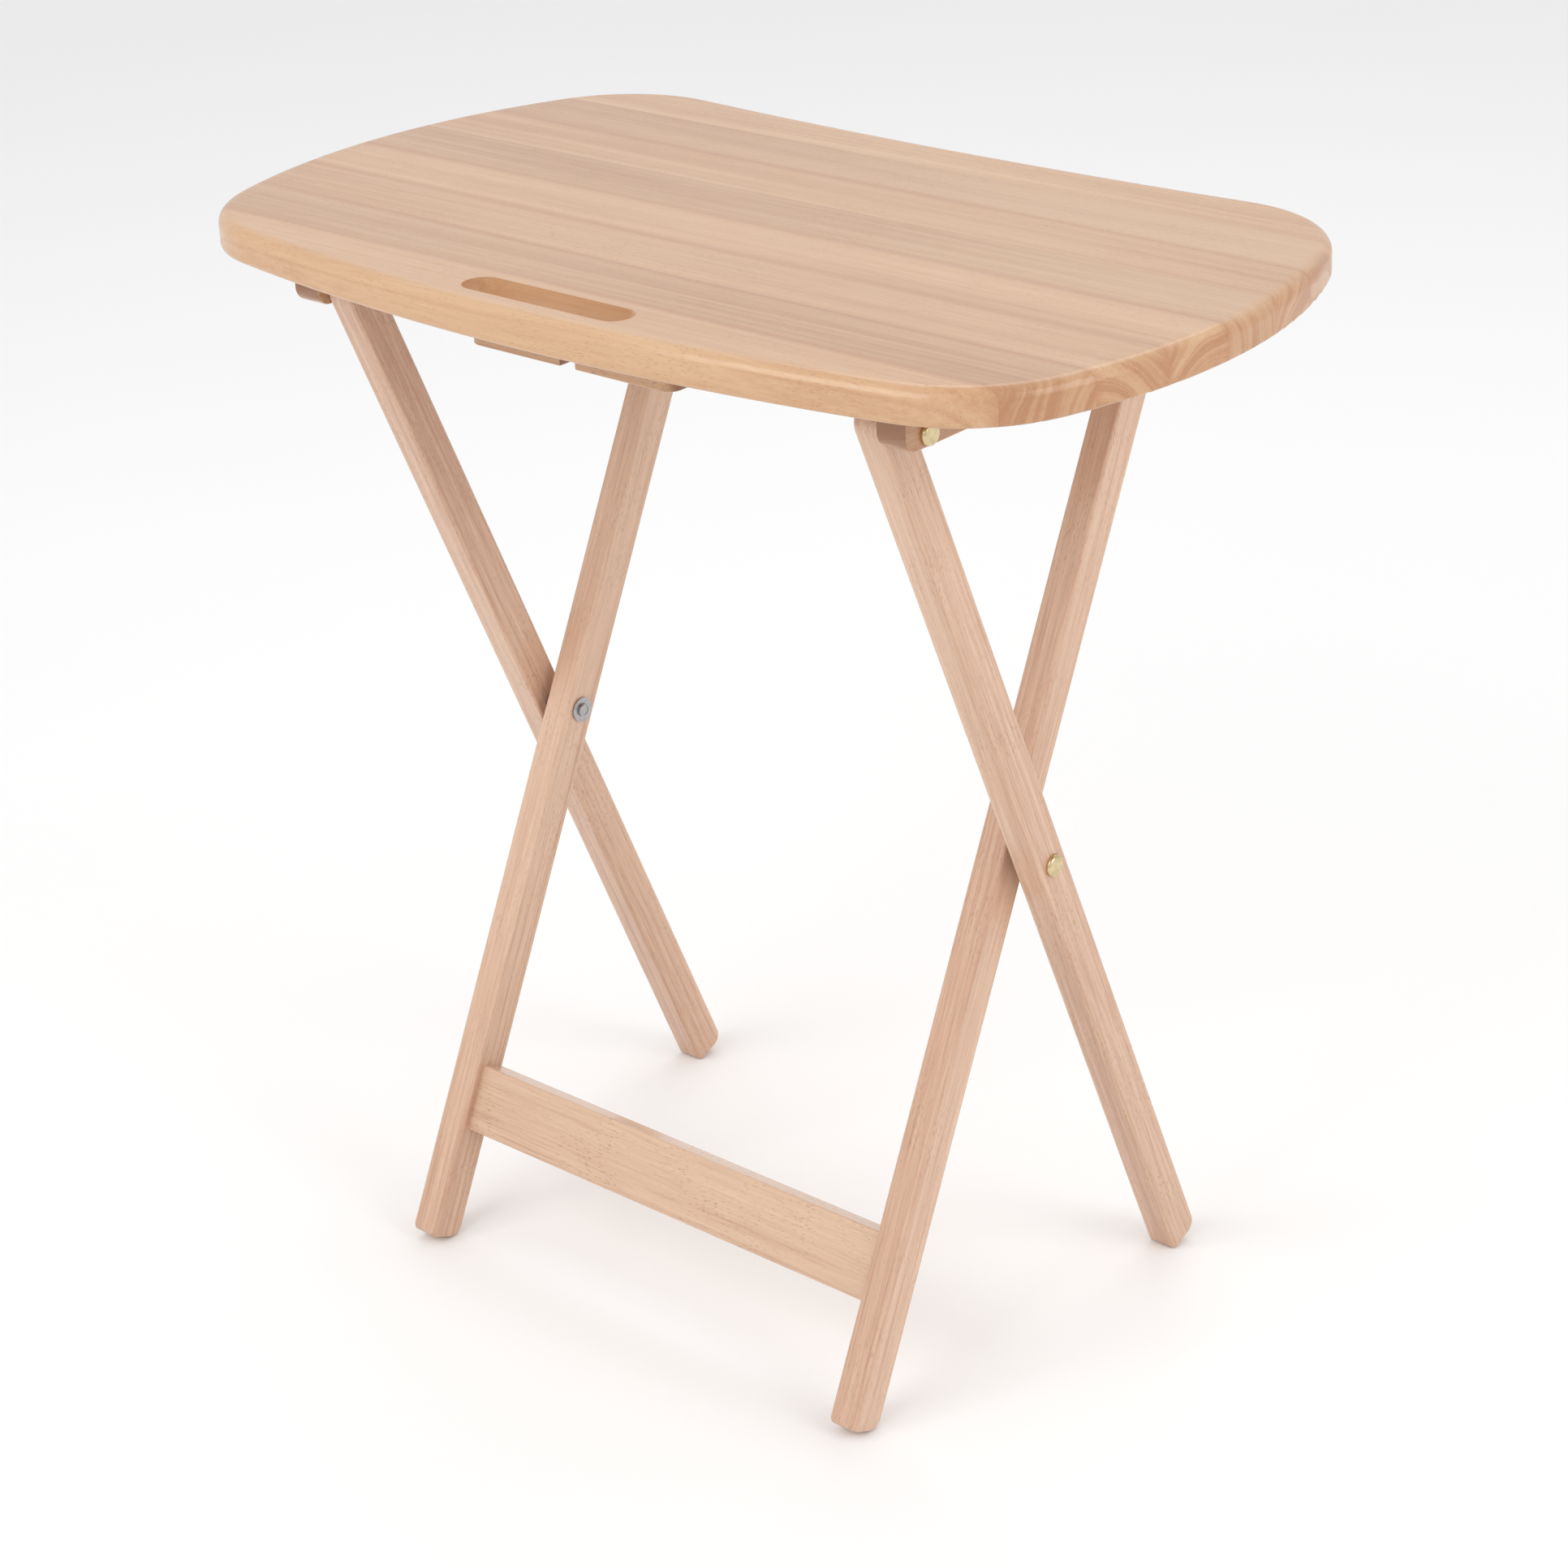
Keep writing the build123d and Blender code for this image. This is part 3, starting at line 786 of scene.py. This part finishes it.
@dataclass
class Screws:
    """The countersunk screws that hold the battens and blocks up to the top."""

    body: str = "tabletop"
    slot: str = "yellow_zinc"
    groups: tuple[str, ...] = ("batten_screws", "grip_block_screws", "catch_block_screws")

    def places(self, node: str) -> tuple[list[Vector], float]:
        """Return where a group's screws stand and how long they are.

        Args:
            node: the CAD node that holds the group.

        Returns:
            The middle of each head's face, and the length from head face to tip.
        """
        mesh = bmesh.new()
        mesh.from_mesh(frame["nodes"][node].data)
        bmesh.ops.remove_doubles(mesh, verts=mesh.verts, dist=0.001 * MILLIMETRE)
        left = set(mesh.verts)
        spots, length = [], 0.0
        while left:
            island, edge = set(), [left.pop()]
            while edge:
                vert = edge.pop()
                island.add(vert)
                near = {link.other_vert(vert) for link in vert.link_edges} & left
                left -= near
                edge.extend(near)
            points = [vert.co for vert in island]
            low = Vector(min(point[axis] for point in points) for axis in range(3))
            high = Vector(max(point[axis] for point in points) for axis in range(3))
            spots.append(Vector(((low.x + high.x) / 2, (low.y + high.y) / 2, low.z)))
            length = high.z - low.z
        mesh.free()
        return sorted(spots, key=tuple), length

    def build(self, material: Any) -> None:
        """Make every screw, as one plain mesh that rides on the top.

        Args:
            material: the screws' material.
        """
        tree = ScrewTree(material)
        parts = []
        for node in self.groups:
            spots, length = self.places(node)
            seeds = bpy.data.meshes.new(f"{node}_places")
            seeds.from_pydata([tuple(spot) for spot in spots], [], [])
            holder = bpy.data.objects.new(f"{node}_places", seeds)
            bpy.context.scene.collection.objects.link(holder)
            modifier = holder.modifiers.new("screws", "NODES")
            modifier.node_group = tree.group
            modifier[tree.keys["Length"]] = length
            bpy.context.view_layer.update()
            evaluated = holder.evaluated_get(bpy.context.evaluated_depsgraph_get())
            parts.append(bpy.data.meshes.new_from_object(evaluated))
            bpy.data.objects.remove(holder)
            LOG.info("%s: %d screws, %.1f mm long", node, len(spots), length / MILLIMETRE)
        self._finish(parts, material)

    def _finish(self, parts: list[Any], material: Any) -> None:
        """Join the groups' meshes into one piece and set it on the top.

        Args:
            parts: one mesh for each group.
            material: the screws' material.
        """
        whole = bmesh.new()
        for part in parts:
            whole.from_mesh(part)
        mesh = bpy.data.meshes.new("wood_screws")
        whole.to_mesh(mesh)
        whole.free()
        mesh.materials.append(material)
        for face in mesh.polygons:
            face.material_index = 0
        piece = bpy.data.objects.new("wood_screws", mesh)
        bpy.context.scene.collection.objects.link(piece)
        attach(piece, self.body)
        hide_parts(*self.groups)


# ---------------------------------------------------------------- sub-assemblies


@dataclass
class Tabletop:
    """The edge-glued top with the battens and blocks under it."""

    board_count: int = 8
    board_seeds: tuple[float, ...] = (3.1, 7.4, 12.9, 18.2, 23.7, 29.5, 34.8, 41.3)
    board_tones: tuple[float, ...] = (1.04, 0.94, 1.00, 1.03, 0.94, 1.01, 0.96, 1.03)
    streaked_joints: tuple[int, ...] = (1, 2, 3, 4, 6)
    board_piths: tuple[tuple[float, float], ...] = (
        (0.020, 0.040), (-0.060, 0.030), (0.045, 0.050), (-0.015, 0.045),
        (0.070, 0.020), (-0.035, 0.050), (0.010, 0.055), (-0.050, 0.035),
    )
    # End-grain colour of the battens and blocks: real end grain, darkened further with painted
    # shade from lying under the top.
    block_end_grain_and_shade: Colour = (0.270, 0.118, 0.052)
    block_seeds: dict[str, float] = field(default_factory=lambda: {
        "left_batten": 52.6, "right_batten": 54.9, "left_grip_block": 58.1,
        "right_grip_block": 60.4, "left_catch_block": 47.3, "right_catch_block": 44.8,
    })

    def joint_y(self, number: int) -> float:
        """Return where the glue line behind a board lies."""
        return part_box(f"tabletop_board_{number}")[1][1]

    def board_finish(self, number: int) -> Rubberwood:
        """Return one board's wood.

        Args:
            number: the board's number, from 1 at the front.

        Returns:
            A finish with its own seed, tone, cut of log and mineral streaks.
        """
        node = f"tabletop_board_{number}"
        plain = Rubberwood(node, Grain.LONG_SIDE, 0.0, node_middle(node))
        tone = self.board_tones[number - 1]
        joints = [line for line in (number - 1, number) if 0 < line < self.board_count]
        return replace(
            plain,
            name=f"board_wood_{number}",
            seed=self.board_seeds[number - 1],
            band_contrast=0.75,
            pore_amount=0.42,
            pale=toned(plain.pale, tone),
            mid=toned(plain.mid, tone),
            deep=toned(plain.deep, tone),
            pith=self.board_piths[number - 1],
            joints_y=tuple(self.joint_y(line) for line in joints),
            streaked=tuple(self.joint_y(line) for line in joints if line in self.streaked_joints),
        )

    def dress(self) -> None:
        """Finish every board, batten and block."""
        for number in range(1, self.board_count + 1):
            finish_nodes(self.board_finish(number), [f"tabletop_board_{number}"])
        for node, seed in self.block_seeds.items():
            grain = Grain.LONG_SIDE if "grip" in node else Grain.SHORT_SIDE
            finish_nodes(
                Rubberwood(f"{node}_wood", grain, seed, node_middle(node),
                           # The blocks' end faces take this dark colour, part end grain and part
                           # painted shade.
                           end_grain_and_shade=self.block_end_grain_and_shade, end_strength=0.85),
                [node],
            )


@dataclass
class LegFrames:
    """Both pairs of legs, with the stretcher and the crossbar of the inner pair."""

    leg_pale: Colour = (0.722, 0.506, 0.370)
    leg_mid: Colour = (0.626, 0.404, 0.279)
    leg_deep: Colour = (0.505, 0.283, 0.184)
    stretcher_pale: Colour = (0.724, 0.512, 0.362)
    stretcher_mid: Colour = (0.645, 0.432, 0.292)
    leg_pith: tuple[float, float] = (0.055, 0.030)
    turned_pith: tuple[float, float] = (0.002, 0.004)
    seeds: dict[str, float] = field(default_factory=lambda: {
        "left_inner_leg": 63.2, "right_inner_leg": 69.9,
        "left_outer_leg": 74.3, "right_outer_leg": 80.6,
    })
    stretcher_seed: float = 88.8
    turned_seed: float = 93.5

    def dress(self) -> None:
        """Finish the legs, the stretcher, its dowels and the crossbar."""
        for node, seed in self.seeds.items():
            grain = Grain.INNER_LEG if "inner" in node else Grain.OUTER_LEG
            finish_nodes(
                Rubberwood(f"{node}_wood", grain, seed, node_middle(node), pale=self.leg_pale,
                           mid=self.leg_mid, deep=self.leg_deep, pore_amount=0.6,
                           band_contrast=0.6, line_contrast=0.8, fibre_contrast=1.0,
                           ring_spacing=0.004, pith=self.leg_pith),
                [node],
            )
        finish_nodes(
            Rubberwood("stretcher_wood", Grain.LONG_SIDE, self.stretcher_seed,
                       node_middle("bottom_stretcher"), pale=self.stretcher_pale,
                       mid=self.stretcher_mid, deep=self.leg_deep, band_contrast=0.45,
                       fibre_contrast=0.8, pore_amount=0.7),
            ["bottom_stretcher"],
        )
        finish_nodes(
            Rubberwood("turned_wood", Grain.LONG_SIDE, self.turned_seed,
                       node_middle("top_crossbar"), ring_spacing=0.003, pith=self.turned_pith),
            ["top_crossbar", "stretcher_dowels"],
        )


@dataclass
class PivotHardware:
    """The bolts, washers, spacers, nuts and inserts of the four pivots."""

    plated: tuple[str, ...] = ("centre_pivot_bolt", "top_pivot_bolt")
    bare: tuple[str, ...] = ("centre_pivot_washer", "centre_pivot_spacer", "centre_pivot_nut",
                             "top_pivot_washer", "top_pivot_insert")

    def dress(self) -> None:
        """Finish the bolts in yellow zinc, bare at their cut ends, and the rest in plain steel."""
        finish_nodes(BOLT_ZINC, [side for name in self.plated for side in both(name)])
        finish_nodes(STEEL, [side for name in self.bare for side in both(name)])


def toned(colour: Colour, factor: float) -> Colour:
    """Return a colour made lighter or darker by a factor."""
    return tuple(min(1.0, channel * factor) for channel in colour)


# ---------------------------------------------------------------- studio


@dataclass
class Softbox:
    """One large rectangular light that points at the middle of the table."""

    name: str
    azimuth: float
    elevation: float
    distance: float
    width: float
    height: float
    power: float

    def build(self, middle: Vector) -> None:
        """Set up the light.

        Args:
            middle: the point that it faces.
        """
        data = bpy.data.lights.new(self.name, "AREA")
        data.shape = "RECTANGLE"
        data.size = self.width
        data.size_y = self.height
        data.energy = self.power
        lamp = bpy.data.objects.new(self.name, data)
        back = direction(self.azimuth, self.elevation)
        lamp.location = middle + back * self.distance
        lamp.rotation_euler = (-back).to_track_quat("-Z", "Y").to_euler()
        bpy.context.scene.collection.objects.link(lamp)


def direction(azimuth: float, elevation: float) -> Vector:
    """Return the unit vector from the table towards a place around it.

    Args:
        azimuth: degrees from the front of the table towards +X.
        elevation: degrees above the horizon.

    Returns:
        The direction.
    """
    turn, rise = math.radians(azimuth), math.radians(elevation)
    level = math.cos(rise)
    return Vector((math.sin(turn) * level, -math.cos(turn) * level, math.sin(rise)))


@dataclass
class Studio:
    """A pale floor, a pale surround, three soft lights and colours shown as they are."""

    floor_size: float = 60.0
    floor_drop: float = 0.2 * MILLIMETRE
    surround: Colour = (1.0, 1.0, 1.0)
    surround_strength: float = 0.84
    lights: tuple[Softbox, ...] = (
        Softbox("key_softbox", -12.0, 38.0, 2.6, 1.8, 1.4, 20.0),
        Softbox("fill_softbox", 95.0, 28.0, 2.8, 1.4, 1.6, 19.0),
        Softbox("back_softbox", 205.0, 55.0, 2.8, 1.8, 1.2, 9.0),
    )

    def build(self) -> None:
        """Lay the floor, light the surround and set up the lamps."""
        low, high = (Vector(corner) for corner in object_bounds())
        mesh = bpy.data.meshes.new("studio_floor")
        half = self.floor_size / 2
        level = low.z - self.floor_drop
        corners = [(-half, -half, level), (half, -half, level), (half, half, level),
                   (-half, half, level)]
        mesh.from_pydata(corners, [], [(0, 1, 2, 3)])
        mesh.materials.append(StudioFloor().build())
        floor = bpy.data.objects.new("studio_floor", mesh)
        bpy.context.scene.collection.objects.link(floor)
        floor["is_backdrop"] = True

        world = bpy.data.worlds.new("surround")
        world.use_nodes = True
        background = world.node_tree.nodes["Background"]
        background.inputs["Color"].default_value = (*self.surround, 1.0)
        background.inputs["Strength"].default_value = self.surround_strength
        bpy.context.scene.world = world
        bpy.context.scene.view_settings.view_transform = "Standard"
        for light in self.lights:
            light.build((low + high) / 2)


@dataclass
class Viewpoint:
    """The camera, placed round the middle of the table."""

    azimuth: float = 41.2
    elevation: float = 22.4
    roll: float = -2.4
    distance: float = 2.246
    sidestep: float = 0.0477
    rise: float = 0.0877
    lens: float = 85.3
    shift_x: float = -0.0435
    shift_y: float = -0.1170
    sensor: float = 36.0

    def build(self) -> None:
        """Make the scene's camera."""
        low, high = (Vector(corner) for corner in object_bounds())
        back = direction(self.azimuth, self.elevation)
        right = Vector((0.0, 0.0, 1.0)).cross(back).normalized()
        up = back.cross(right)
        roll = math.radians(self.roll)
        tilted_right = right * math.cos(roll) + up * math.sin(roll)
        tilted_up = up * math.cos(roll) - right * math.sin(roll)
        data = bpy.data.cameras.new("viewpoint")
        data.lens = self.lens
        data.sensor_width = self.sensor
        data.shift_x = self.shift_x
        data.shift_y = self.shift_y
        camera = bpy.data.objects.new("viewpoint", data)
        stand = (low + high) / 2 + back * self.distance + right * self.sidestep + up * self.rise
        axes = Matrix((tilted_right, tilted_up, back)).transposed().to_4x4()
        camera.matrix_world = Matrix.Translation(stand) @ axes
        bpy.context.scene.collection.objects.link(camera)
        bpy.context.scene.camera = camera


def main() -> None:
    """Set up the camera, dress the table, add its screws and set up the studio."""
    logging.basicConfig(level=logging.INFO)
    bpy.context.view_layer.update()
    Viewpoint().build()
    Tabletop().dress()
    LegFrames().dress()
    PivotHardware().dress()
    Screws().build(ZINC.build())
    Studio().build()


if __name__ == "__main__":
    main()
